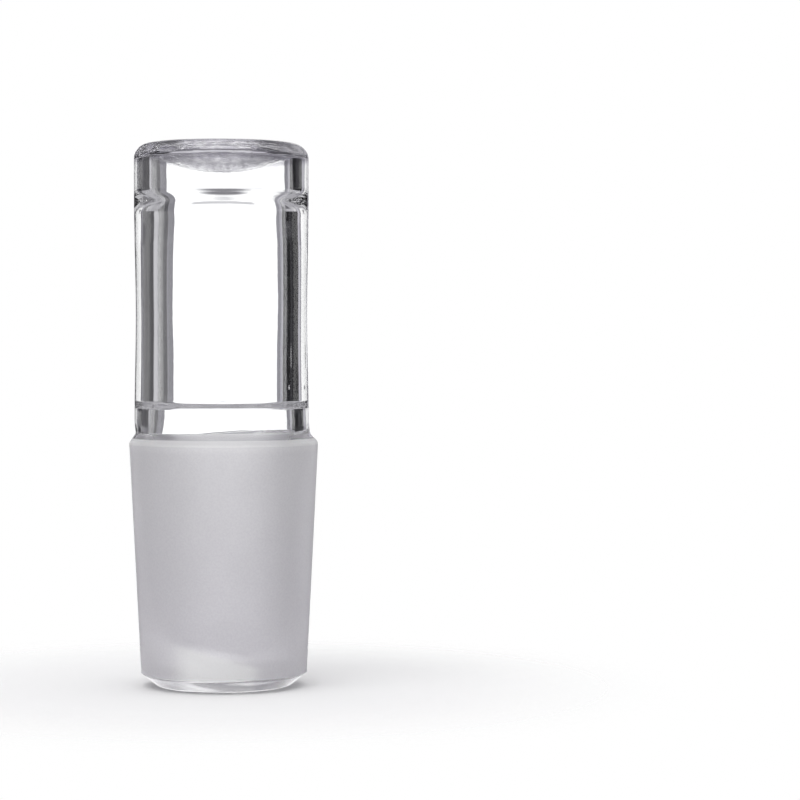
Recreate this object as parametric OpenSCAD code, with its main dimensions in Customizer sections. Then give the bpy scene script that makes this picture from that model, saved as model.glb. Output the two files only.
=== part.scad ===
// Hollow ground-glass stopper with a 1:10 standard taper, blown and sealed as one piece of glass.
// The Z axis is the axis of the ground cone, and Z = 0 is the flat that the stopper stands on.

/* [Ground joint] */
// Diameter at the large end of the ground cone
joint_d = 24; // [22.5:0.1:28]
// Length of the ground cone along the axis
joint_len = 29; // [16:0.5:45]
// Length over which the cone's diameter shrinks by one
taper_run = 10; // [7:0.5:25]
// Height of the fire-polished tip below the ground cone
tip_h = 1.7; // [0.6:0.1:3]
// Radial width of the bevel round the tip
tip_bevel = 2.1; // [0.8:0.1:4]
// Rounding between the bevel and the flat foot
tip_round = 1.2; // [0.2:0.1:2.5]

/* [Shoulder] */
// Height of the clear land between the ground cone and the shoulder
land_h = 0.3; // [0.1:0.1:1]
// Height of the slope from the land up to the handle
shoulder_h = 1.2; // [0.8:0.1:4]
// Hollow rounding where the shoulder runs into the handle
shoulder_hollow = 0.7; // [0.2:0.1:3]
// Rounding at the shoulder's outer edge
shoulder_round = 0.4; // [0.1:0.1:1]

/* [Handle] */
// Diameter of the handle at its crown
handle_d = 22.2; // [20:0.1:23.5]
// Length of the handle, from the shoulder to the top
handle_len = 36.8; // [30:0.1:60]
// Depth of the shallow waist drawn into the handle
waist_depth = 0.2; // [0.05:0.05:0.6]
// Clear length of handle kept above the waist
waist_from_top = 7.5; // [4:0.5:12]
// Rounding at the edge of the flat top
crown_round = 2; // [0.4:0.1:2.4]

/* [Hollow] */
// Wall round the ground cone
joint_wall = 2.6; // [1.2:0.05:3.5]
// Wall round the narrow bore of the handle
handle_wall = 2.85; // [2.2:0.05:4.5]
// Wall round the wide chamber under the crown
crown_wall = 2.05; // [1.3:0.05:2.4]
// Glass above the chamber, at its rim
crown_t = 1.6; // [1:0.1:3.4]
// Depth to which the ceiling of the chamber sags at the axis
ceiling_sag = 2.1; // [0.3:0.1:2.8]
// Height of the chamber, from its rim down to the step
chamber_h = 4.9; // [3.2:0.1:9]
// Height of the step between chamber and narrow bore
chamber_step = 2; // [0.8:0.1:3]
// Depth of the bead that narrows the bore below the step
neck_bead = 0.15; // [0.05:0.05:0.5]
// Length over which the bore narrows to that bead
neck_len = 4; // [2:0.1:5]
// Height to which the joint's hollow reaches above the ground cone
mouth_h = 4.8; // [3:0.1:7]
// Wall at the top of that hollow
mouth_wall = 1.9; // [1.2:0.05:2.4]
// Height of the step between that hollow and the narrow bore
mouth_step = 0.6; // [0.4:0.1:3]
// Rounding of the step above the joint
mouth_round = 0.4; // [0.2:0.1:1]
// Rounding of the step and the bead below the chamber
step_round = 4; // [0.5:0.1:5]
// Rounding where the chamber's wall meets its ceiling
rim_round = 1.2; // [0.2:0.1:1.6]
// Distance by which the hollow sits off the axis, so that one wall is thinner
hollow_shift = 0.2; // [0:0.05:0.7]

/* [Sealed tip] */
// Least thickness of the glass across the tip
seal_t = 2.6; // [1.5:0.1:8]
// Radius of the round floor that the seal leaves
floor_r = 13; // [12.2:0.1:20]
// Distance of the floor's lowest point from the axis
floor_offset = 2.7; // [0:0.1:3]

/* [Hidden] */
$fn = 96;

joint_r = joint_d / 2;
tip_r = joint_r - joint_len / taper_run / 2;
foot_r = tip_r - tip_bevel;
handle_r = handle_d / 2;

joint_top = tip_h + joint_len;
land_top = joint_top + land_h;
handle_foot = land_top + shoulder_h;
height = handle_foot + handle_len;

bore_r = handle_r - handle_wall;
neck_r = bore_r - neck_bead;
chamber_r = handle_r - crown_wall;
mouth_r = handle_r - mouth_wall;
joint_bore_top = joint_r - joint_wall;
joint_bore_foot = tip_r - joint_wall;

rim_z = height - crown_t;
chamber_foot = rim_z - chamber_h;
neck_z = chamber_foot - chamber_step;
bore_top = neck_z - neck_len;
mouth_top = joint_top + mouth_h;
bore_foot = mouth_top + mouth_step;

// The waist is one wide arc, hung between the crown and the foot of the handle.
waist_top = height - waist_from_top;
waist_foot = handle_foot + shoulder_hollow;
waist_half = (waist_top - waist_foot) / 2;
waist_arc = (waist_half * waist_half + waist_depth * waist_depth) / (2 * waist_depth);

// The ceiling sags as a ball that meets the chamber's rim.
ceiling_ball = (chamber_r * chamber_r + ceiling_sag * ceiling_sag) / (2 * ceiling_sag);
floor_centre = seal_t + floor_r;

glass = "#DCE4EA";
no_round = 0;
// Largest share of a side that one rounding may take
side_share = 0.48;

function unit(v) = v / norm(v);
function half_angle(a, p, b) = acos(max(-1, min(1, unit(a - p) * unit(b - p)))) / 2;
function straight(a, p, b) = half_angle(a, p, b) > 89.5;

// Distance from a corner to where its rounding starts, kept inside both sides.
function setback(a, p, b, r) =
    straight(a, p, b) ? 0
    : min(r / tan(half_angle(a, p, b)), side_share * min(norm(a - p), norm(b - p)));
function fitted_radius(a, p, b, r) = setback(a, p, b, r) * tan(half_angle(a, p, b));
function round_centre(a, p, b, r) =
    p + unit(unit(a - p) + unit(b - p)) * fitted_radius(a, p, b, r) / sin(half_angle(a, p, b));

// An outline drawn anticlockwise, with a true arc at each corner that has a radius.
// Outer corners are filled with a disc, and inner corners are hollowed by one.
module rounded_outline(corners, radii) {
    n = len(corners);
    before = [for (i = [0 : n - 1]) corners[(i + n - 1) % n]];
    after = [for (i = [0 : n - 1]) corners[(i + 1) % n]];
    rounded = [for (i = [0 : n - 1])
        if (radii[i] > no_round && !straight(before[i], corners[i], after[i])) i];
    outer = [for (i = rounded) if (cross(corners[i] - before[i], after[i] - corners[i]) > 0) i];
    inner = [for (i = rounded) if (cross(corners[i] - before[i], after[i] - corners[i]) < 0) i];
    trimmed = [for (i = [0 : n - 1])
        let (s = radii[i] > no_round ? setback(before[i], corners[i], after[i], radii[i]) : 0)
        each s > 0
            ? [corners[i] + unit(before[i] - corners[i]) * s, corners[i] + unit(after[i] - corners[i]) * s]
            : [corners[i]]];

    difference() {
        polygon(trimmed);
        for (i = inner) corner_disc(before[i], corners[i], after[i], radii[i]);
    }
    for (i = outer) corner_disc(before[i], corners[i], after[i], radii[i]);
}

module corner_disc(a, p, b, r) {
    translate(round_centre(a, p, b, r)) circle(fitted_radius(a, p, b, r));
}

// Outside of the glass: tip, ground cone, shoulder and handle.
module outer_section() {
    difference() {
        rounded_outline(
            [[0, 0], [foot_r, 0], [tip_r, tip_h], [joint_r, joint_top], [joint_r, land_top],
             [handle_r, handle_foot], [handle_r, height], [0, height]],
            [no_round, tip_round, no_round, no_round, shoulder_round, shoulder_hollow, crown_round, no_round]);
        waist();
    }
}

// The waist's arc, kept to its own stretch of the handle.
module waist() {
    intersection() {
        translate([handle_r - waist_depth + waist_arc, waist_foot + waist_half])
            circle(waist_arc, $fn = 720);
        translate([0, waist_foot]) square([joint_d, 2 * waist_half]);
    }
}

// Hollow of the glass, from the tip's inside up to the rim of the chamber.
// The discs of its wide roundings are kept on this side of the axis.
module hollow_section() {
    intersection() {
        rounded_outline(
            [[0, tip_h], [joint_bore_foot, tip_h], [joint_bore_top, joint_top],
             [mouth_r, mouth_top], [bore_r, bore_foot], [bore_r, bore_top],
             [neck_r, neck_z], [chamber_r, chamber_foot], [chamber_r, rim_z], [0, rim_z]],
            [no_round, no_round, step_round, mouth_round, mouth_round, step_round,
             step_round, step_round, rim_round, no_round]);
        square([joint_d, height]);
    }
}

// Glass that closes the tip: everything under a round floor that sits a little off the axis.
module tip_seal() {
    difference() {
        cylinder(r = joint_r, h = floor_centre);
        translate([floor_offset, 0, floor_centre]) sphere(floor_r);
    }
}

// Glass that hangs from the crown into the chamber.
module sagging_ceiling() {
    translate([0, 0, rim_z - ceiling_sag + ceiling_ball]) sphere(ceiling_ball);
}

module hollow() {
    difference() {
        translate([-hollow_shift, 0, 0]) difference() {
            rotate_extrude() hollow_section();
            sagging_ceiling();
        }
        tip_seal();
    }
}

module glass_stopper() {
    color(glass, 0.5) difference() {
        rotate_extrude() outer_section();
        hollow();
    }
}

glass_stopper();
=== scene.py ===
import math

import bmesh
import bpy
from bpy.props import FloatProperty, FloatVectorProperty, IntProperty, PointerProperty
from bpy.types import Operator, Panel, PropertyGroup
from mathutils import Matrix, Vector


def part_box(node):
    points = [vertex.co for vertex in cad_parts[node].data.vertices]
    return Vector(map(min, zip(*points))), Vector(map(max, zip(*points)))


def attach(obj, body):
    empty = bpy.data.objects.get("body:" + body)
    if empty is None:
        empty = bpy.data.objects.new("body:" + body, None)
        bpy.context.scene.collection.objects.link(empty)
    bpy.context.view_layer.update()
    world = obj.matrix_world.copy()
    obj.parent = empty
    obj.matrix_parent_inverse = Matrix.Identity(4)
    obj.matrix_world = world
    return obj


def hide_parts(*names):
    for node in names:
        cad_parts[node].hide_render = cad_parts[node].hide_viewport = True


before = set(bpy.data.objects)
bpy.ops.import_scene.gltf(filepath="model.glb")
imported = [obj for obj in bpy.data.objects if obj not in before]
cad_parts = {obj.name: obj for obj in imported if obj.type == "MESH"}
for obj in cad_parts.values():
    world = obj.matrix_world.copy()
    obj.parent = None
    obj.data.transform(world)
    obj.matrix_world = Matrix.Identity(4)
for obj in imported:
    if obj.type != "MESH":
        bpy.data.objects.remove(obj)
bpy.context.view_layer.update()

bl_info = {
    "name": "Ground-glass stopper",
    "version": (1, 0, 0),
    "blender": (4, 5, 0),
    "location": "3D View > Sidebar > Stopper",
    "description": "Turns a hollow glass stopper with a ground taper, and sets it in a plain studio",
    "category": "Add Mesh",
}

MM = 0.001
NODE = "glass_stopper"
FOOT, TOP = (corner[2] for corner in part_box(NODE))

# What the glass mirrors and bends, as rings of cards round the stopper, from the lowest to the highest.
# Each ring has the sine of the elevation at which it begins. Each card has the azimuth at which it
# begins, in degrees from straight behind the stopper, and its brightness.
RINGS = (
    (-1.0, ((-180, 0.6), (-120, 0.15), (-60, 0.45), (45, 0.14), (140, 0.6))),
    (-0.375, ((-180, 0.7), (-100, 0.35), (-80, 0.22), (-60, 0.4), (-25, 0.5), (-15, 1.2), (15, 0.7),
              (35, 0.5), (100, 0.7))),
    (-0.21, ((-180, 0.85), (-62, 0.6), (-50.5, 0.05), (-20, 1.3), (24, 0.02), (88, 0.45), (112, 0.85))),
    (0.16, ((-180, 0.25), (-60, 0.22), (-25, 0.42), (-14, 1.2), (14, 0.45), (100, 0.3))),
    (0.42, ((-180, 0.4), (-100, 0.47), (100, 0.38))),
)
# Two narrow flags stand close behind the stopper, each from one place across to another. Their cloth
# has bands, each with the place at which it begins and its brightness. All places are in millimetres.
FLAGS = ((-24.0, -13.9), (17.3, 26.0))
FLAG_BANDS = ((-30, 0.07), (-18, 0.26), (0, 0.33), (20.5, 0.55), (24.5, 0.03))
FLAG_BEHIND, FLAG_LOW, FLAG_HIGH, FLAG_REACH = 29.5, 1, 85, 30
# Widths over which cards, rings and bands of cloth run into each other: degrees, sine, millimetres
CARD_SOFT, RING_SOFT, BAND_SOFT = 0.8, 0.03, 0.2
# A dark spot low behind the stopper, a painted shadow of the stopper on the floor behind it, with a thin
# line above it. Heights are sines of the elevation, and the spot's half width is in degrees.
SPOT_Z, SPOT_HALF_HEIGHT, SPOT_HALF_WIDTH, LINE_Z = -0.21, 0.0875, 4.0, -0.105
SPOT_LEVEL = 0.2
# Brightness of the surround for the floor and all that is matt
PLAIN_LEVEL = 0.9
# Hue of what is darker than the white sheet
SHADE_TINT = (0.92, 0.9, 1.0)
WHITE = (1, 1, 1, 1)
# Turns that light may take in the glass before it is lost
PATH_BOUNCES = 24
FLOOR_SIDES = 96
FLOOR_GAP = 0.05 * MM

# Bubbles in the glass, each with its centre and half sizes, in millimetres from the top's middle
BUBBLES = (
    ((-5.2, -1.0, -2.1), (1.2, 0.7, 0.3)),
    ((-0.6, 0.5, -2.6), (1.3, 0.9, 0.18)),
    ((2.6, -2.0, -1.5), (0.4, 0.4, 0.2)),
    ((9.8, -3.0, -31.0), (0.22, 0.22, 0.3)),
    ((9.9, -2.4, -27.0), (0.12, 0.12, 1.6)),
)
SEED = 4.0
# Step from the seed of the outside's waves to that of the hollow's
HOLLOW_SEED_STEP = 7.3

# Largest share of a side that one rounding may take
SIDE_SHARE = 0.48
# Largest distance between the points of an outline, on the walls and on the ceiling
WALL_SPACING, VAULT_SPACING = 0.6 * MM, 0.2 * MM
# Rounding where the ceiling's ball meets the chamber's rim, and where the floor's ball meets the bore
VAULT_BLEND, FLOOR_BLEND = 0.4 * MM, 1.2 * MM
# Heights over which the handle's waves and the ceiling's wrinkles set in
HANDLE_RUN, CEILING_RUN = 3 * MM, 0.3 * MM
# Height to which the grinding runs past the land, onto the shoulder's rounding
GROUND_OVERRUN = 0.4 * MM
# Slope of the sealed floor as it shows through the tip, as height over x
SEAL_SLOPE = 0.27
# Stretch of a pattern that is long from front to back
FRONT_TO_BACK = (1.0, 0.2, 1.0)


class StopperForm(PropertyGroup):
    """Sizes of the glass, in the frame of the CAD solid."""

    joint_d: FloatProperty(
        name="Joint diameter", description="Large end of the ground cone",
        default=24 * MM, unit="LENGTH")
    joint_len: FloatProperty(
        name="Ground length", description="Length of the ground cone along the axis",
        default=29 * MM, unit="LENGTH")
    taper_run: FloatProperty(
        name="Taper run", description="Length over which the cone's diameter shrinks by one",
        default=10.0)
    tip_h: FloatProperty(
        name="Tip height", description="Height of the fire-polished tip below the ground cone",
        default=1.7 * MM, unit="LENGTH")
    tip_bevel: FloatProperty(
        name="Tip bevel", description="Radial width of the bevel round the tip",
        default=2.1 * MM, unit="LENGTH")
    tip_round: FloatProperty(
        name="Tip rounding", description="Rounding between the bevel and the flat foot",
        default=1.2 * MM, unit="LENGTH")
    land_h: FloatProperty(
        name="Land height", description="Clear land between the ground cone and the shoulder",
        default=0.3 * MM, unit="LENGTH")
    shoulder_h: FloatProperty(
        name="Shoulder height", description="Height of the slope from the cone to the handle",
        default=1.2 * MM, unit="LENGTH")
    shoulder_hollow: FloatProperty(
        name="Shoulder hollow", description="Hollow rounding where the shoulder meets the handle",
        default=0.7 * MM, unit="LENGTH")
    shoulder_round: FloatProperty(
        name="Shoulder rounding", description="Rounding at the shoulder's outer edge",
        default=0.4 * MM, unit="LENGTH")
    handle_d: FloatProperty(
        name="Handle diameter", description="Diameter of the handle at its crown",
        default=22.2 * MM, unit="LENGTH")
    waist_depth: FloatProperty(
        name="Waist depth", description="Depth of the shallow waist in the handle",
        default=0.2 * MM, unit="LENGTH")
    waist_from_top: FloatProperty(
        name="Waist from top", description="Clear length of handle above the waist",
        default=7.5 * MM, unit="LENGTH")
    crown_round: FloatProperty(
        name="Crown rounding", description="Rounding at the edge of the flat top",
        default=2.0 * MM, unit="LENGTH")
    joint_wall: FloatProperty(
        name="Joint wall", description="Wall round the ground cone",
        default=2.6 * MM, unit="LENGTH")
    handle_wall: FloatProperty(
        name="Handle wall", description="Wall round the narrow bore of the handle",
        default=2.85 * MM, unit="LENGTH")
    crown_wall: FloatProperty(
        name="Crown wall", description="Wall round the chamber under the crown",
        default=2.05 * MM, unit="LENGTH")
    crown_t: FloatProperty(
        name="Crown thickness", description="Glass above the chamber's rim",
        default=1.6 * MM, unit="LENGTH")
    ceiling_sag: FloatProperty(
        name="Ceiling sag", description="Depth to which the chamber's ceiling hangs at the axis",
        default=2.1 * MM, unit="LENGTH")
    chamber_h: FloatProperty(
        name="Chamber height", description="From the chamber's rim down to the step",
        default=4.9 * MM, unit="LENGTH")
    chamber_step: FloatProperty(
        name="Chamber step", description="Height of the step between chamber and bore",
        default=2.0 * MM, unit="LENGTH")
    mouth_h: FloatProperty(
        name="Mouth height", description="Height of the joint's hollow above the ground cone",
        default=4.8 * MM, unit="LENGTH")
    mouth_wall: FloatProperty(
        name="Mouth wall", description="Wall at the top of the joint's hollow",
        default=1.9 * MM, unit="LENGTH")
    mouth_step: FloatProperty(
        name="Mouth step", description="Height of the step between that hollow and the bore",
        default=0.6 * MM, unit="LENGTH")
    neck_bead: FloatProperty(
        name="Neck bead", description="Depth of the bead that narrows the bore below the chamber",
        default=0.15 * MM, unit="LENGTH")
    neck_len: FloatProperty(
        name="Neck length", description="Length over which the bore narrows to that bead",
        default=4.0 * MM, unit="LENGTH")
    mouth_round: FloatProperty(
        name="Mouth rounding", description="Rounding of the step above the joint",
        default=0.4 * MM, unit="LENGTH")
    step_round: FloatProperty(
        name="Step rounding",
        description="Rounding of the steps in the hollow, as far as they leave room",
        default=4.0 * MM, unit="LENGTH")
    rim_round: FloatProperty(
        name="Rim rounding", description="Rounding where the chamber's wall meets its ceiling",
        default=1.2 * MM, unit="LENGTH")
    hollow_shift: FloatProperty(
        name="Hollow shift", description="Distance by which the hollow sits off the axis",
        default=0.2 * MM, unit="LENGTH")
    handle_lean: FloatProperty(
        name="Handle lean",
        description="Distance by which the drawn handle sits off the joint's axis",
        default=0.25 * MM, unit="LENGTH")
    seal_t: FloatProperty(
        name="Seal thickness", description="Least thickness of the glass across the tip",
        default=2.6 * MM, unit="LENGTH")
    floor_r: FloatProperty(
        name="Floor radius", description="Radius of the round floor inside the seal",
        default=16.0 * MM, unit="LENGTH")
    floor_offset: FloatProperty(
        name="Floor offset", description="Distance of the floor's lowest point from the axis",
        default=2.7 * MM, unit="LENGTH")
    segments: IntProperty(
        name="Segments", description="Facets round the axis", default=240, min=48)


class GlassFinish(PropertyGroup):
    """Colours and hand-worked unevenness of the glass."""

    tint: FloatVectorProperty(
        name="Clear tint", description="Colour of the clear glass",
        default=(0.985, 0.988, 0.99), size=3, subtype="COLOR", min=0, max=1)
    crown_tint: FloatVectorProperty(
        name="Crown tint", description="Colour of the clouded glass of the crown",
        default=(0.72, 0.705, 0.76), size=3, subtype="COLOR", min=0, max=1)
    # Painted shade at the crown's edge and foot, on the seal and on the tip's bevel takes this colour,
    # and so do the dark specks on the ceiling.
    shade_and_speck_tint: FloatVectorProperty(
        name="Rim tint",
        description="Colour of the darkest glass: the crown's outer edge, the specks and the tip",
        default=(0.3, 0.29, 0.33), size=3, subtype="COLOR", min=0, max=1)
    ground_tint: FloatVectorProperty(
        name="Ground tint", description="Colour of the ground surface",
        default=(0.73, 0.716, 0.75), size=3, subtype="COLOR", min=0, max=1)
    ior: FloatProperty(name="IOR", description="Refractive index of the glass", default=1.474)
    ground_roughness: FloatProperty(
        name="Ground roughness", description="Mean roughness of the ground cone",
        default=0.68, subtype="FACTOR", min=0, max=1)
    drift: FloatProperty(
        name="Drift", description="Height of the slow waves left in the drawn glass",
        default=0.06 * MM, unit="LENGTH")
    drift_size: FloatProperty(
        name="Drift size", description="Length of those waves", default=13 * MM, unit="LENGTH")
    ceiling_grain: FloatProperty(
        name="Ceiling grain", description="Height of the wrinkles on the chamber's ceiling",
        default=0.22 * MM, unit="LENGTH")
    ceiling_grain_size: FloatProperty(
        name="Ceiling grain size", description="Width of those wrinkles",
        default=1.6 * MM, unit="LENGTH")


class StudioSetup(PropertyGroup):
    """Camera, floor and light."""

    floor_tint: FloatVectorProperty(
        name="Floor colour", description="Colour of the studio floor",
        default=(0.93, 0.93, 0.93), size=3, subtype="COLOR", min=0, max=1)
    floor_r: FloatProperty(
        name="Floor radius", description="Radius of the studio floor", default=60 * MM, unit="LENGTH")
    eye_distance: FloatProperty(
        name="Eye distance", description="Camera to the stopper's axis",
        default=350 * MM, unit="LENGTH")
    eye_height: FloatProperty(
        name="Eye height", description="Camera above the floor", default=44 * MM, unit="LENGTH")
    pitch: FloatProperty(
        name="Pitch", description="Angle of the camera below the level",
        default=math.radians(1.25), unit="ROTATION")
    yaw: FloatProperty(
        name="Yaw", description="Angle of the camera to the right of the stopper",
        default=math.radians(3.68), unit="ROTATION")
    lens_mm: FloatProperty(name="Lens", description="Focal length in millimetres", default=123.3)


class NodeWriter:
    """Adds nodes to one tree and joins their sockets."""

    def __init__(self, tree):
        self.tree = tree

    def add(self, kind, **settings):
        node = self.tree.nodes.new(kind)
        for name, value in settings.items():
            setattr(node, name, value)
        return node

    def feed(self, socket, value):
        if isinstance(value, bpy.types.NodeSocket):
            self.tree.links.new(value, socket)
        else:
            socket.default_value = value

    def math(self, operation, *values):
        node = self.add("ShaderNodeMath", operation=operation)
        for socket, value in zip(node.inputs, values):
            self.feed(socket, value)
        return node.outputs[0]

    def vector(self, operation, *values):
        node = self.add("ShaderNodeVectorMath", operation=operation)
        for socket, value in zip(node.inputs, values):
            self.feed(socket, value)
        return node.outputs["Value" if operation in {"LENGTH", "DOT_PRODUCT"} else "Vector"]

    def scaled(self, vector, factor):
        node = self.add("ShaderNodeVectorMath", operation="SCALE")
        self.feed(node.inputs[0], vector)
        self.feed(node.inputs["Scale"], factor)
        return node.outputs["Vector"]

    def split(self, vector):
        node = self.add("ShaderNodeSeparateXYZ")
        self.feed(node.inputs[0], vector)
        return node.outputs

    def join(self, x, y, z):
        node = self.add("ShaderNodeCombineXYZ")
        for socket, value in zip(node.inputs, (x, y, z)):
            self.feed(socket, value)
        return node.outputs[0]

    def noise(self, vector, scale, detail=2.0, w=0.0, colour=False):
        node = self.add("ShaderNodeTexNoise", noise_dimensions="4D")
        self.feed(node.inputs["Vector"], vector)
        self.feed(node.inputs["W"], w)
        self.feed(node.inputs["Scale"], scale)
        self.feed(node.inputs["Detail"], detail)
        return node.outputs["Color" if colour else "Fac"]

    def ramp(self, value, low, high, out_low=0.0, out_high=1.0, smooth=True):
        node = self.add("ShaderNodeMapRange", interpolation_type="SMOOTHSTEP" if smooth else "LINEAR")
        for name, number in (("Value", value), ("From Min", low), ("From Max", high),
                             ("To Min", out_low), ("To Max", out_high)):
            self.feed(node.inputs[name], number)
        return node.outputs["Result"]

    def fall(self, value, low, high, level=1.0):
        """A ramp from the level down to nothing."""
        return self.ramp(value, low, high, level, 0.0)

    def all_of(self, first, *others):
        """The product of masks."""
        for other in others:
            first = self.math("MULTIPLY", first, other)
        return first

    def any_of(self, first, *others):
        """The strongest of masks."""
        for other in others:
            first = self.math("MAXIMUM", first, other)
        return first

    def blend(self, factor, low, high, kind="RGBA", **settings):
        """What lies between two colours or two values."""
        node = self.add("ShaderNodeMix", data_type=kind, **settings)
        for name, value in (("Factor", factor), ("A", low), ("B", high)):
            self.feed(node.inputs[name], value)
        return node.outputs["Result"]

    def bump(self, height, strength, distance):
        node = self.add("ShaderNodeBump")
        for name, value in (("Height", height), ("Strength", strength), ("Distance", distance)):
            self.feed(node.inputs[name], value)
        return node.outputs["Normal"]

    def seen_through_glass(self):
        """The light path's outputs, and one for what glass mirrors or bends."""
        path = self.add("ShaderNodeLightPath").outputs
        return path, self.any_of(path["Is Glossy Ray"], path["Is Transmission Ray"])


def rounded_outline(corners, spacing, arc_step=math.radians(6)):
    """Points along an open outline of (radius, height, rounding) corners.

    A corner with a rounding becomes an arc, and straight stretches are split at the spacing.
    """
    points = []

    def straight_to(target):
        if points:
            start = points[-1]
            length = (target - start).length
            count = max(1, math.ceil(length / spacing))
            points.extend(start.lerp(target, k / count) for k in range(1, count + 1))
        else:
            points.append(target)

    spots = [Vector((r, z)) for r, z, _ in corners]
    for i, (_, _, rounding) in enumerate(corners):
        here = spots[i]
        if not rounding or i in (0, len(corners) - 1):
            straight_to(here)
            continue
        back = (spots[i - 1] - here).normalized()
        on = (spots[i + 1] - here).normalized()
        half = back.angle(on) / 2
        setback = min(rounding / math.tan(half),
                      SIDE_SHARE * (spots[i - 1] - here).length,
                      SIDE_SHARE * (spots[i + 1] - here).length)
        radius = setback * math.tan(half)
        centre = here + (back + on).normalized() * radius / math.sin(half)
        straight_to(here + back * setback)
        first = points[-1] - centre
        turn = first.angle_signed(here + on * setback - centre)
        count = max(2, math.ceil(abs(turn) / arc_step))
        for k in range(1, count + 1):
            angle = -turn * k / count
            points.append(centre + Vector((
                first.x * math.cos(angle) - first.y * math.sin(angle),
                first.x * math.sin(angle) + first.y * math.cos(angle))))
    return points


def outside_outline(form):
    """The glass from the middle of the foot, round the outside, to the middle of the top."""
    joint_r = form.joint_d / 2
    tip_r = joint_r - form.joint_len / form.taper_run / 2
    handle_r = form.handle_d / 2
    joint_top = form.tip_h + form.joint_len
    land = joint_top + form.land_h
    handle_foot = land + form.shoulder_h
    points = rounded_outline([
        (0, FOOT, 0),
        (tip_r - form.tip_bevel, FOOT, form.tip_round),
        (tip_r, form.tip_h, 0),
        (joint_r, joint_top, 0),
        (joint_r, land, form.shoulder_round),
        (handle_r, handle_foot, form.shoulder_hollow),
        (handle_r, TOP, form.crown_round),
        (0, TOP, 0),
    ], spacing=WALL_SPACING)
    low, high = handle_foot + form.shoulder_hollow, TOP - form.waist_from_top
    for point in points:
        if low < point.y < high:
            share = (point.y - low) / (high - low)
            point.x -= form.waist_depth * (0.5 - 0.5 * math.cos(2 * math.pi * share))
    return points


def hollow_outline(form):
    """The hollow from the middle of the seal, up the bore, to the middle of the ceiling."""
    joint_r = form.joint_d / 2
    tip_r = joint_r - form.joint_len / form.taper_run / 2
    handle_r = form.handle_d / 2
    joint_top = form.tip_h + form.joint_len
    mouth_top = joint_top + form.mouth_h
    rim = TOP - form.crown_t
    chamber_foot = rim - form.chamber_h
    chamber_r = handle_r - form.crown_wall
    bore_r = handle_r - form.handle_wall
    neck_r = bore_r - form.neck_bead
    neck = chamber_foot - form.chamber_step
    edge, bend, crease = form.rim_round, form.step_round, form.mouth_round
    walls = rounded_outline([
        (0, form.tip_h, 0),
        (tip_r - form.joint_wall, form.tip_h, 0),
        (joint_r - form.joint_wall, joint_top, bend),
        (handle_r - form.mouth_wall, mouth_top, crease),
        (bore_r, mouth_top + form.mouth_step, crease),
        (bore_r, neck - form.neck_len, bend),
        (neck_r, neck, bend),
        (chamber_r, chamber_foot, bend),
        (chamber_r, rim - edge, 0),
    ], spacing=WALL_SPACING)
    ball = (chamber_r ** 2 + form.ceiling_sag ** 2) / (2 * form.ceiling_sag)
    vault = rounded_outline([(chamber_r, rim - edge, 0), (chamber_r, rim, edge), (0, rim, 0)],
                           spacing=VAULT_SPACING)
    for point in vault:
        ceiling = rim - form.ceiling_sag + ball - math.sqrt(ball ** 2 - point.x ** 2)
        point.y = smooth_min(point.y, ceiling, VAULT_BLEND)
    return walls + vault[1:]


def smooth_min(a, b, blend):
    """The lower of two heights, with the crease between them rounded over the blend."""
    near = max(0.0, blend - abs(a - b)) / blend
    return min(a, b) - near * near * blend / 4


def outline_curve(name, points, lathe_r):
    """A poly curve that the lathe turns about the axis, drawn from the lathe's own circle."""
    curve = bpy.data.curves.new(name, "CURVE")
    curve.dimensions = "3D"
    spline = curve.splines.new("POLY")
    spline.points.add(len(points) - 1)
    for knot, point in zip(spline.points, points):
        knot.co = (point.x - lathe_r, -point.y, 0, 1)
    outline = bpy.data.objects.new(name, curve)
    bpy.context.scene.collection.objects.link(outline)
    return outline


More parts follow.
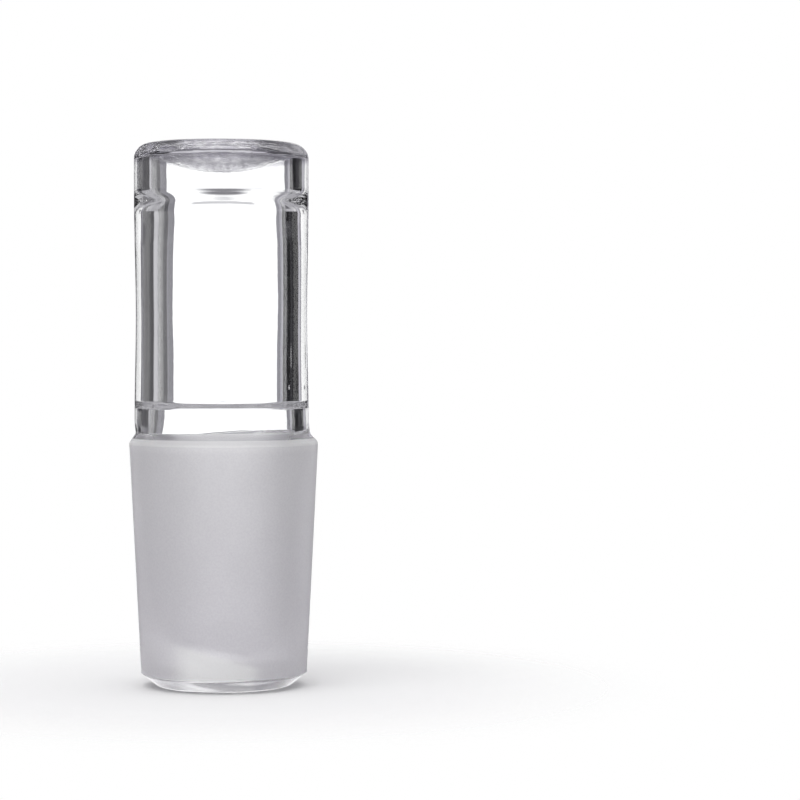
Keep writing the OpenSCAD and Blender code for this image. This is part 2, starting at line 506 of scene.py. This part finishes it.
def turned_glass_tree():
    """Geometry Nodes that turn the outside and the hollow, and work them a little by hand."""
    tree = bpy.data.node_groups.new("turned_glass", "GeometryNodeTree")
    for name, kind in (
            ("Outside", "Object"), ("Hollow", "Object"), ("Segments", "Int"), ("Lathe Radius", "Float"),
            ("Handle From", "Float"), ("Handle Lean", "Float"), ("Hollow Shift", "Float"),
            ("Floor Centre", "Vector"), ("Floor Radius", "Float"), ("Floor Blend", "Float"),
            ("Drift", "Float"), ("Drift Size", "Float"),
            ("Ceiling From", "Float"), ("Ceiling Grain", "Float"), ("Ceiling Grain Size", "Float"),
            ("Ground From", "Float"), ("Ground To", "Float"),
            ("Clear Glass", "Material"), ("Ground Glass", "Material"), ("Seed", "Float")):
        tree.interface.new_socket(name, in_out="INPUT", socket_type="NodeSocket" + kind)
    tree.interface.new_socket("Geometry", in_out="OUTPUT", socket_type="NodeSocketGeometry")

    w = NodeWriter(tree)
    given = w.add("NodeGroupInput").outputs
    position = w.add("GeometryNodeInputPosition").outputs[0]
    z = w.split(position)["Z"]

    def step(kind, geometry, **inputs):
        node = w.add("GeometryNode" + kind)
        w.feed(node.inputs[0], geometry)
        for name, value in inputs.items():
            w.feed(node.inputs[name.replace("_", " ")], value)
        return node.outputs[0]

    def turned(outline):
        held = w.add("GeometryNodeObjectInfo")
        w.feed(held.inputs["Object"], outline)
        circle = w.add("GeometryNodeCurvePrimitiveCircle")
        w.feed(circle.inputs["Resolution"], given["Segments"])
        w.feed(circle.inputs["Radius"], given["Lathe Radius"])
        swept = step("CurveToMesh", circle.outputs["Curve"], Profile_Curve=held.outputs["Geometry"])
        return step("MergeByDistance", swept, Distance=0.002 * MM)

    def drift(seed_step, height):
        colour = w.noise(position, w.math("DIVIDE", 1.0, given["Drift Size"]), 1.0,
                         w.math("ADD", given["Seed"], seed_step), colour=True)
        return w.scaled(w.vector("SUBTRACT", colour, (0.5, 0.5, 0.5)), height)

    on_handle = w.ramp(z, given["Handle From"], w.math("ADD", given["Handle From"], HANDLE_RUN))
    waves = drift(0.0, w.math("MULTIPLY", given["Drift"], on_handle))
    waves = w.vector("MULTIPLY", waves, (1.0, 1.0, 0.0))
    lean = w.math("MULTIPLY", w.math("MULTIPLY", given["Handle Lean"], on_handle), -1.0)
    outside = step("FlipFaces", turned(given["Outside"]))
    outside = step("SetPosition", outside, Offset=w.vector("ADD", waves, w.join(lean, 0.0, 0.0)))
    in_cone = w.math("MULTIPLY", w.math("GREATER_THAN", z, given["Ground From"]),
                     w.math("LESS_THAN", z, given["Ground To"]))
    mark = w.add("GeometryNodeStoreNamedAttribute", data_type="BOOLEAN", domain="FACE")
    mark.inputs["Name"].default_value = "ground"
    w.feed(mark.inputs["Geometry"], outside)
    w.feed(mark.inputs["Value"], in_cone)

    shift = w.join(w.math("MULTIPLY", given["Hollow Shift"], -1.0), 0.0, 0.0)
    waves = drift(HOLLOW_SEED_STEP, w.math("MULTIPLY", given["Drift"], 2.0))
    hollow = step("SetPosition", turned(given["Hollow"]), Offset=w.vector("ADD", shift, waves))
    off_centre = w.vector("SUBTRACT", position, given["Floor Centre"])
    reach = w.vector("LENGTH", w.vector("MULTIPLY", off_centre, (1.0, 1.0, 0.0)))
    drop = w.math("SQRT", w.math("MAXIMUM", 0.0, w.math(
        "SUBTRACT", w.math("MULTIPLY", given["Floor Radius"], given["Floor Radius"]),
        w.math("MULTIPLY", reach, reach))))
    floor_z = w.math("SUBTRACT", w.split(given["Floor Centre"])["Z"], drop)
    raised = w.math("SMOOTH_MAX", z, floor_z, given["Floor Blend"])
    hollow = step("SetPosition", hollow, Offset=w.join(0.0, 0.0, w.math("SUBTRACT", raised, z)))
    wrinkle = w.math("SUBTRACT", w.noise(
        position, w.math("DIVIDE", 1.0, given["Ceiling Grain Size"]), 3.0, given["Seed"]), 0.5)
    on_ceiling = w.ramp(z, given["Ceiling From"], w.math("ADD", given["Ceiling From"], CEILING_RUN))
    lift = w.math("MULTIPLY", w.math("MULTIPLY", wrinkle, on_ceiling), given["Ceiling Grain"])
    hollow = step("SetPosition", hollow, Offset=w.join(0.0, 0.0, lift))

    bubbles = []
    for centre, half in BUBBLES:
        ball = w.add("GeometryNodeMeshIcoSphere")
        ball.inputs["Radius"].default_value = MM
        ball.inputs["Subdivisions"].default_value = 3
        place = (centre[0] * MM, centre[1] * MM, TOP + centre[2] * MM)
        bubbles.append(step("Transform", step("FlipFaces", ball.outputs["Mesh"]),
                            Scale=half, Translation=place))
    joined = w.add("GeometryNodeJoinGeometry")
    for shell in (hollow, mark.outputs["Geometry"], *bubbles):
        tree.links.new(shell, joined.inputs["Geometry"])
    real = step("RealizeInstances", step("SetShadeSmooth", joined.outputs["Geometry"]))
    ground = w.add("GeometryNodeInputNamedAttribute", data_type="BOOLEAN")
    ground.inputs["Name"].default_value = "ground"
    clear = step("SetMaterial", real, Material=given["Clear Glass"])
    dressed = step("SetMaterial", clear, Material=given["Ground Glass"],
                   Selection=ground.outputs["Attribute"])
    w.feed(w.add("NodeGroupOutput").inputs["Geometry"], dressed)
    return tree


def run_tree(name, tree, values):
    """A plain mesh object from a node tree with its named inputs set."""
    host = bpy.data.objects.new(name + "_host", bpy.data.meshes.new(name + "_host"))
    bpy.context.scene.collection.objects.link(host)
    modifier = host.modifiers.new(name, "NODES")
    modifier.node_group = tree
    for item in tree.interface.items_tree:
        if item.in_out == "INPUT" and item.name in values:
            modifier[item.identifier] = values[item.name]
    graph = bpy.context.evaluated_depsgraph_get()
    mesh = bpy.data.meshes.new_from_object(host.evaluated_get(graph))
    bpy.data.objects.remove(host)
    mesh.name = name
    for slot in reversed(range(len(mesh.materials))):
        if mesh.materials[slot] is None:
            mesh.materials.pop(index=slot)
    piece = bpy.data.objects.new(name, mesh)
    bpy.context.scene.collection.objects.link(piece)
    return piece


def new_glass(name, tint, ior):
    """A glass material with its shader, and a writer for the rest."""
    material = bpy.data.materials.new(name)
    material.use_nodes = True
    w = NodeWriter(material.node_tree)
    shader = material.node_tree.nodes["Principled BSDF"]
    shader.inputs["Base Color"].default_value = (*tint, 1.0)
    shader.inputs["Transmission Weight"].default_value = 1.0
    shader.inputs["IOR"].default_value = ior
    place = w.add("ShaderNodeTexCoord").outputs["Object"]
    return material, shader, w, place


def clear_glass(finish):
    """Fire-polished glass: bright, with slow waves, a grainy ceiling and a clouded crown."""
    material, shader, w, place = new_glass("fire_polished_glass", finish.tint, finish.ior)
    x, y, z = w.split(place)
    reach = w.vector("LENGTH", w.join(x, y, 0.0))
    drawn_out = w.vector("MULTIPLY", place, FRONT_TO_BACK)
    ceiling = w.all_of(
        w.fall(reach, 8.0 * MM, 8.6 * MM),
        w.ramp(z, TOP - 4.5 * MM, TOP - 4.2 * MM),
        w.fall(z, TOP - 1.2 * MM, TOP - 1 * MM))

    # The crown is clouded in flat streaks.
    crown = w.ramp(z, TOP - 2.8 * MM, TOP - 2.2 * MM)
    streaks = w.noise(w.vector("MULTIPLY", place, (0.35, 0.35, 1.0)), 1 / (0.4 * MM), 3.0, 8.0)
    cloud = w.all_of(w.ramp(streaks, 0.4, 0.6, 0.1, 1.0), w.any_of(crown, ceiling))
    hue = w.blend(cloud, (*finish.tint, 1), (*finish.crown_tint, 1))

    # Painted shade darkens the glass at the crown's edge and foot, on the seal above the tip and on the
    # tip's bevel; the ceiling has dark specks.
    # Painted shade: a dark ring along the crown's outer edge and another at its foot.
    edge = w.all_of(w.ramp(z, TOP - 0.7 * MM, TOP - 0.35 * MM), w.ramp(reach, 9.0 * MM, 9.4 * MM))
    crown_foot_shade = w.all_of(
        w.ramp(z, TOP - 2.6 * MM, TOP - 2.1 * MM),
        w.fall(z, TOP - 1.6 * MM, TOP - 1.2 * MM, level=0.7),
        w.ramp(reach, 9.3 * MM, 9.8 * MM))
    specks = w.ramp(w.noise(drawn_out, 1 / (0.7 * MM), 4.0, 2.0), 0.51, 0.55, 0.0, 0.7)
    # Painted shade on the sealed floor above the tip, along its slant.
    slant = w.math("ADD", z, w.math("MULTIPLY", x, SEAL_SLOPE))
    seal = w.all_of(
        w.ramp(z, 1.9 * MM, 2.3 * MM),
        w.fall(slant, 4.6 * MM, 5.6 * MM, level=0.75))
    # Painted shade greys the tip's bevel, darker in a patch on the left and one on the right.
    bevel = w.all_of(w.fall(z, 1.5 * MM, 1.7 * MM), w.ramp(reach, 8.4 * MM, 8.8 * MM))
    right_bevel_patch = w.all_of(w.ramp(x, 3.2 * MM, 4.2 * MM), w.fall(x, 7.4 * MM, 8 * MM))
    darker_bevel_patches = w.any_of(right_bevel_patch, w.fall(x, -6.5 * MM, -3.5 * MM))
    bevel = w.all_of(bevel, w.math("ADD", w.math("MULTIPLY", darker_bevel_patches, 0.5), 0.45))
    dark = w.any_of(edge, crown_foot_shade, seal, bevel, w.all_of(specks, ceiling))
    w.feed(shader.inputs["Base Color"], w.blend(dark, hue, (*finish.shade_and_speck_tint, 1)))

    haze = w.ramp(w.noise(place, 1 / (3 * MM), 3.0), 0.45, 0.8, 0.0, 0.008)
    matt_foot = w.fall(z, 1.3 * MM, 1.7 * MM, level=0.14)
    w.feed(shader.inputs["Roughness"], w.math("ADD", haze, matt_foot))

    slow = w.math("MULTIPLY", w.noise(place, 1 / (2.5 * MM), 2.0, 3.0), 0.036)
    grain = w.all_of(w.noise(drawn_out, 1 / (0.6 * MM), 3.0, 6.0), ceiling)
    w.feed(shader.inputs["Normal"], w.bump(w.math("ADD", grain, slow), 0.8, 0.2 * MM))
    return material


def ground_glass(finish, ground_top):
    """The ground cone: matt, with fine grain and the faint rings of the grinding."""
    material, shader, w, place = new_glass("ground_glass", finish.ground_tint, finish.ior)
    shader.inputs["Transmission Weight"].default_value = 0.66
    x, y, z = w.split(place)
    grain = w.noise(place, 1 / (0.25 * MM), 4.0)

    # Painted light: the cone is lighter towards its top, past its end, and where the tip is solid glass
    # and lets more light through.
    slant = w.math("ADD", z, w.math("MULTIPLY", x, SEAL_SLOPE))
    solid = w.all_of(
        w.fall(slant, 3.9 * MM, 4.9 * MM),
        w.ramp(x, -7.5 * MM, -4 * MM),
        w.fall(x, 2.5 * MM, 5.5 * MM))
    light = w.any_of(
        w.ramp(z, 6 * MM, ground_top - 3 * MM, 0.0, 0.3),
        w.ramp(z, ground_top - 2 * MM, ground_top, 0.0, 0.5),
        solid,
        w.ramp(z, ground_top, ground_top + 0.1 * MM))
    light = w.math("ADD", light, w.ramp(grain, 0.3, 0.7, -0.12, 0.12))
    hue = w.blend(light, (*finish.ground_tint, 1), WHITE, clamp_factor=False)
    w.feed(shader.inputs["Base Color"], hue)

    cloud = w.noise(place, 1 / (4 * MM), 3.0, 5.0)
    mean = finish.ground_roughness
    w.feed(shader.inputs["Roughness"], w.ramp(cloud, 0.3, 0.7, mean - 0.06, mean + 0.06))

    flat = w.join(w.math("MULTIPLY", x, 0.05), w.math("MULTIPLY", y, 0.05), z)
    rings = w.noise(flat, 1 / (0.3 * MM), 2.0, 9.0)
    height = w.math("ADD", grain, w.math("MULTIPLY", rings, 0.5))
    w.feed(shader.inputs["Normal"], w.bump(height, 0.3, 0.03 * MM))
    return material


class STOPPER_OT_glass(Operator):
    """Turn the stopper's outside and hollow as one piece of glass"""
    bl_idname = "stopper.glass"
    bl_label = "Turn the glass"

    def execute(self, context):
        form, finish = context.scene.stopper_form, context.scene.stopper_finish
        lathe_r = form.joint_d / 2
        outside = outline_curve("outside_outline", outside_outline(form), lathe_r)
        hollow = outline_curve("hollow_outline", hollow_outline(form), lathe_r)
        joint_top = form.tip_h + form.joint_len
        piece = run_tree("stopper_glass", turned_glass_tree(), {
            "Outside": outside,
            "Hollow": hollow,
            "Segments": form.segments,
            "Lathe Radius": lathe_r,
            "Handle From": joint_top + form.land_h,
            "Handle Lean": form.handle_lean,
            "Hollow Shift": form.hollow_shift,
            "Floor Centre": (form.floor_offset, 0.0, form.seal_t + form.floor_r),
            "Floor Radius": form.floor_r,
            "Floor Blend": FLOOR_BLEND,
            "Drift": finish.drift,
            "Drift Size": finish.drift_size,
            "Ceiling Grain": finish.ceiling_grain,
            "Ceiling Grain Size": finish.ceiling_grain_size,
            "Ceiling From": TOP - form.crown_t - form.ceiling_sag - 0.1 * MM,
            "Ground From": form.tip_h,
            "Ground To": joint_top + form.land_h + GROUND_OVERRUN,
            "Clear Glass": clear_glass(finish),
            "Ground Glass": ground_glass(finish, joint_top),
            "Seed": SEED,
        })
        for outline in (outside, hollow):
            bpy.data.objects.remove(outline)
        solid = bmesh.new()
        solid.from_mesh(piece.data)
        volume = solid.calc_volume(signed=True)
        open_edges = sum(not edge.is_manifold for edge in solid.edges)
        solid.free()
        if volume <= 0 or open_edges:
            raise RuntimeError(f"the glass isn't closed: volume {volume}, open edges {open_edges}")
        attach(piece, "root")
        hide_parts(NODE)
        return {"FINISHED"}


class STOPPER_OT_studio(Operator):
    """Set the floor, the light and the camera"""
    bl_idname = "stopper.studio"
    bl_label = "Set the studio"

    def execute(self, context):
        studio = context.scene.stopper_studio
        self.floor(context, studio)
        self.flags(context)
        self.surround(context)
        self.lamps(context)
        self.camera(context, studio)
        context.scene.view_settings.view_transform = "Standard"
        paths = context.scene.cycles
        paths.max_bounces = paths.glossy_bounces = paths.transmission_bounces = PATH_BOUNCES
        return {"FINISHED"}

    def floor(self, context, studio):
        """A round floor that fades out at its edge, and that glass sees as bright, with painted light in
        a pool under the stopper.
        """
        mesh = bpy.data.meshes.new("floor")
        turns = [math.tau * k / FLOOR_SIDES for k in range(FLOOR_SIDES)]
        rim = [(studio.floor_r * math.cos(a), studio.floor_r * math.sin(a), FOOT - FLOOR_GAP)
               for a in turns]
        mesh.from_pydata(rim, [], [tuple(range(FLOOR_SIDES))])
        floor = bpy.data.objects.new("floor", mesh)
        context.scene.collection.objects.link(floor)
        material = bpy.data.materials.new("studio_floor")
        material.use_nodes = True
        w = NodeWriter(material.node_tree)
        shader = material.node_tree.nodes["Principled BSDF"]
        shader.inputs["Base Color"].default_value = (*studio.floor_tint, 1.0)
        shader.inputs["Roughness"].default_value = 0.9
        shader.inputs["Specular IOR Level"].default_value = 0.0
        reach = w.vector("LENGTH", w.add("ShaderNodeTexCoord").outputs["Object"])
        w.feed(shader.inputs["Alpha"], w.fall(reach, 0.45 * studio.floor_r, studio.floor_r))
        _, through = w.seen_through_glass()
        shader.inputs["Emission Color"].default_value = WHITE
        # Painted light: glass sees the floor glow, strongly in a pool under the stopper where its shadow
        # lies, and faintly further out.
        painted_light_pool = w.ramp(reach, 9 * MM, 13 * MM, 1.2, 0.2)
        w.feed(shader.inputs["Emission Strength"], w.math("MULTIPLY", through, painted_light_pool))
        mesh.materials.append(material)

    def bands(self, w, cards, place, low, high, soft):
        """Brightness along a place that runs from low to high, from cards that meet with a soft edge."""
        ramp = w.add("ShaderNodeValToRGB")
        stops = ramp.color_ramp.elements
        stops[0].position, stops[1].position = 0.0, 1.0
        stops[0].color = (*(cards[0][1],) * 3, 1)
        stops[1].color = (*(cards[-1][1],) * 3, 1)
        for (_, before), (start, after) in zip(cards, cards[1:]):
            for side, level in ((-soft, before), (soft, after)):
                stops.new((start + side - low) / (high - low)).color = (level, level, level, 1)
        w.feed(ramp.inputs["Fac"], w.ramp(place, low, high, smooth=False))
        return ramp.outputs["Color"]

    def flags(self, context):
        """Dark strips behind the stopper, that only its glass sees."""
        corners = [(across * MM, FLAG_BEHIND * MM, height * MM) for left, right in FLAGS
                   for across, height in ((left, FLAG_LOW), (right, FLAG_LOW),
                                          (right, FLAG_HIGH), (left, FLAG_HIGH))]
        mesh = bpy.data.meshes.new("flags")
        mesh.from_pydata(corners, [], [(0, 1, 2, 3), (4, 5, 6, 7)])
        flags = bpy.data.objects.new("flags", mesh)
        context.scene.collection.objects.link(flags)
        flags.visible_camera = flags.visible_diffuse = flags.visible_shadow = False
        material = bpy.data.materials.new("flag_cloth")
        material.use_nodes = True
        w = NodeWriter(material.node_tree)
        shader = material.node_tree.nodes["Principled BSDF"]
        shader.inputs["Base Color"].default_value = (0, 0, 0, 1)
        shader.inputs["Specular IOR Level"].default_value = 0.0
        shader.inputs["Emission Color"].default_value = (*SHADE_TINT, 1)
        place = w.add("ShaderNodeTexCoord").outputs["Object"]
        across = w.math("DIVIDE", w.split(place)["X"], MM)
        level = self.bands(w, FLAG_BANDS, across, -FLAG_REACH, FLAG_REACH, BAND_SOFT)
        w.feed(shader.inputs["Emission Strength"], level)
        mesh.materials.append(material)

    def surround(self, context):
        """A white backdrop for the camera, and rings of cards for the glass."""
        world = bpy.data.worlds.new("studio")
        context.scene.world = world
        world.use_nodes = True
        w = NodeWriter(world.node_tree)
        backdrop = world.node_tree.nodes["Background"]
        x, y, z = w.split(w.add("ShaderNodeTexCoord").outputs["Generated"])
        turn = w.math("MULTIPLY", w.math("ARCTAN2", x, y), 180 / math.pi)
        seen = 0.0
        for begins, cards in RINGS:
            above = w.ramp(z, begins - RING_SOFT, begins + RING_SOFT)
            ring = self.bands(w, cards, turn, -180, 180, CARD_SOFT)
            seen = w.blend(above, seen, ring, "FLOAT")

        # Painted shadow: a dark spot where the stopper's shadow would lie on the floor behind it, and a
        # thin line above it.
        across = w.math("DIVIDE", turn, SPOT_HALF_WIDTH)
        down = w.math("DIVIDE", w.math("SUBTRACT", z, SPOT_Z), SPOT_HALF_HEIGHT)
        spot = w.fall(w.vector("LENGTH", w.join(across, down, 0.0)), 0.45, 1.15)
        line = w.all_of(
            w.fall(w.math("ABSOLUTE", w.math("SUBTRACT", z, LINE_Z)), 0.01, 0.024, level=0.6),
            w.fall(w.math("ABSOLUTE", turn), 5.5, 8))
        seen = w.blend(w.any_of(spot, line), seen, SPOT_LEVEL, "FLOAT")

        path, through = w.seen_through_glass()
        light = w.blend(through, PLAIN_LEVEL, seen, "FLOAT")
        level = w.any_of(light, path["Is Camera Ray"])
        w.feed(backdrop.inputs["Strength"], level)
        w.feed(backdrop.inputs["Color"], w.blend(level, (*SHADE_TINT, 1), WHITE))

    def lamps(self, context):
        """One wide, weak lamp for the shadow, that the glass doesn't see."""
        lamp = bpy.data.lights.new("window", "SUN")
        lamp.energy = 0.6
        lamp.angle = math.radians(50)
        holder = bpy.data.objects.new("window", lamp)
        holder.rotation_euler = (math.radians(30), math.radians(-25), 0)
        holder.visible_glossy = holder.visible_transmission = False
        context.scene.collection.objects.link(holder)

    def camera(self, context, studio):
        """A long lens a little above the middle of the stopper, turned to its right."""
        camera = bpy.data.cameras.new("camera")
        camera.lens = studio.lens_mm
        camera.sensor_width = 36
        camera.clip_start = 0.01
        holder = bpy.data.objects.new("camera", camera)
        holder.location = (0, -studio.eye_distance, studio.eye_height)
        holder.rotation_euler = (math.pi / 2 - studio.pitch, 0, -studio.yaw)
        context.scene.collection.objects.link(holder)
        context.scene.camera = holder


class STOPPER_PT_sidebar(Panel):
    """Lists the stopper's operators"""
    bl_label = "Glass stopper"
    bl_idname = "STOPPER_PT_sidebar"
    bl_space_type = "VIEW_3D"
    bl_region_type = "UI"
    bl_category = "Stopper"

    def draw(self, context):
        for operator in (STOPPER_OT_glass, STOPPER_OT_studio):
            self.layout.operator(operator.bl_idname)


CLASSES = (
    StopperForm, GlassFinish, StudioSetup,
    STOPPER_OT_glass, STOPPER_OT_studio, STOPPER_PT_sidebar,
)


def register():
    for cls in CLASSES:
        bpy.utils.register_class(cls)
    bpy.types.Scene.stopper_form = PointerProperty(type=StopperForm)
    bpy.types.Scene.stopper_finish = PointerProperty(type=GlassFinish)
    bpy.types.Scene.stopper_studio = PointerProperty(type=StudioSetup)


def unregister():
    del bpy.types.Scene.stopper_form, bpy.types.Scene.stopper_finish, bpy.types.Scene.stopper_studio
    for cls in reversed(CLASSES):
        bpy.utils.unregister_class(cls)


def main():
    register()
    bpy.ops.stopper.glass()
    bpy.ops.stopper.studio()


if __name__ == "__main__":
    main()
